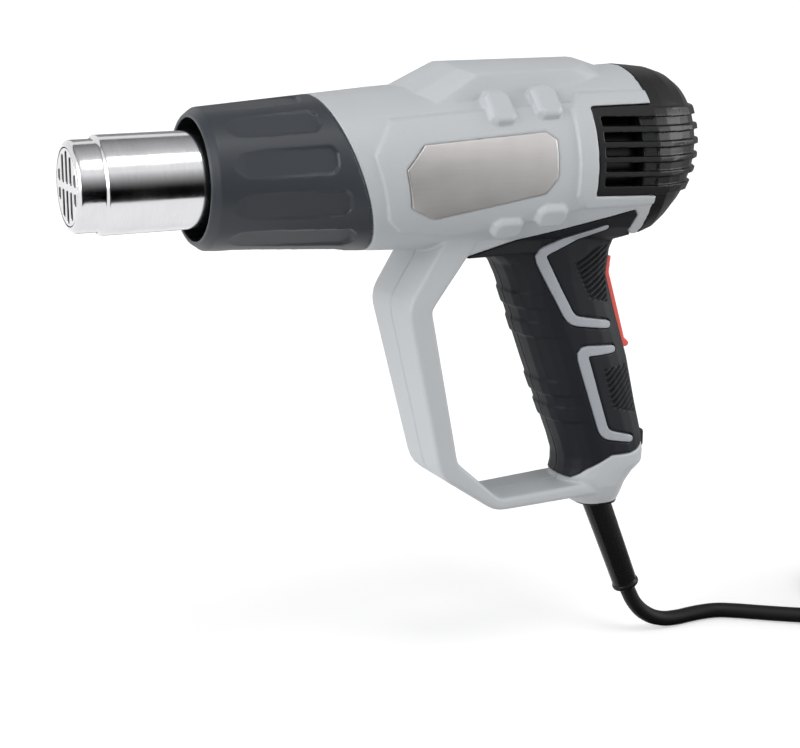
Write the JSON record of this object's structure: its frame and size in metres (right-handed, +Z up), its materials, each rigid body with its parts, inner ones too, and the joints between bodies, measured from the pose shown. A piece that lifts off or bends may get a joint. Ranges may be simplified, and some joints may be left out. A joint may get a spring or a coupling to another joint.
{
  "type": "heat gun",
  "caption": "Pistol-shaped hot air tool with a fluted nose guard round a steel outlet, a closed loop in front of a soft grip, a rocker switch and a vented rear cap.",
  "frame": {"origin": "middle of the hand grip, in the tool's middle plane", "axes": "-X towards the outlet, along the barrel; +Y to the tool's right side; +Z up from the grip towards the barrel"},
  "size_m": [0.4884, 0.0975, 0.2437],
  "materials": {
    "shell": "fine-grained light grey moulding",
    "guard": "dark grey glass-filled moulding",
    "black": "satin black moulding",
    "soft": "soft black overmould",
    "trim": "mid grey trim",
    "red": "satin red moulding",
    "chrome": "bright plated steel",
    "badge": "brushed plate, bare",
    "steel": "plain steel",
    "ceramic": "matt ceramic",
    "mica": "mica sheet",
    "board": "circuit board",
    "cord": "black rubber sheath"
  },
  "bodies": {
    "body": {"housing_left": "shell", "housing_right": "shell", "nose_guard": "guard", "rear_cap": "black", "fan_duct": "black", "motor_mount": "black", "rectifier": "black", "switch_body": "black", "cord_clamp": "black", "cord_tie": "black", "plug_body": "black", "grip_left": "soft", "grip_right": "soft", "chevron_upper_left": "trim", "chevron_upper_right": "trim", "chevron_lower_left": "trim", "chevron_lower_right": "trim", "outlet_tube": "chrome", "outlet_grille": "chrome", "badge_left": "badge", "badge_right": "badge", "heater_wire": "steel", "thermal_cutout": "steel", "motor_can": "steel", "rocker_pin": "steel", "clamp_screw_1": "steel", "clamp_screw_2": "steel", "plug_pin_1": "steel", "plug_pin_2": "steel", "housing_screw_1": "steel", "housing_screw_2": "steel", "housing_screw_3": "steel", "housing_screw_4": "steel", "housing_screw_5": "steel", "housing_screw_6": "steel", "tube_flange": "ceramic", "heater_core": "ceramic", "mica_sleeve": "mica", "control_board": "board", "supply_lead_left": "cord", "supply_lead_right": "cord", "motor_lead_left": "cord", "motor_lead_right": "cord", "strain_relief": "cord", "power_cord": "cord", "cord_coil": "cord"},
    "rocker": {"switch_rocker": "red"},
    "rotor": {"impeller": "black", "motor_shaft": "steel"}
  },
  "joints": [
    {"name": "switch_rock", "type": "hinge", "parent": "body", "child": "rocker", "pos_m": [0.00631, 0, 0.022], "axis": [0, 1, 0], "range_deg": [-7, 7]},
    {"name": "fan_spin", "type": "hinge", "parent": "body", "child": "rotor", "pos_m": [-0.027, 0, 0.08], "axis": [1, 0, 0], "continuous": true}
  ]
}
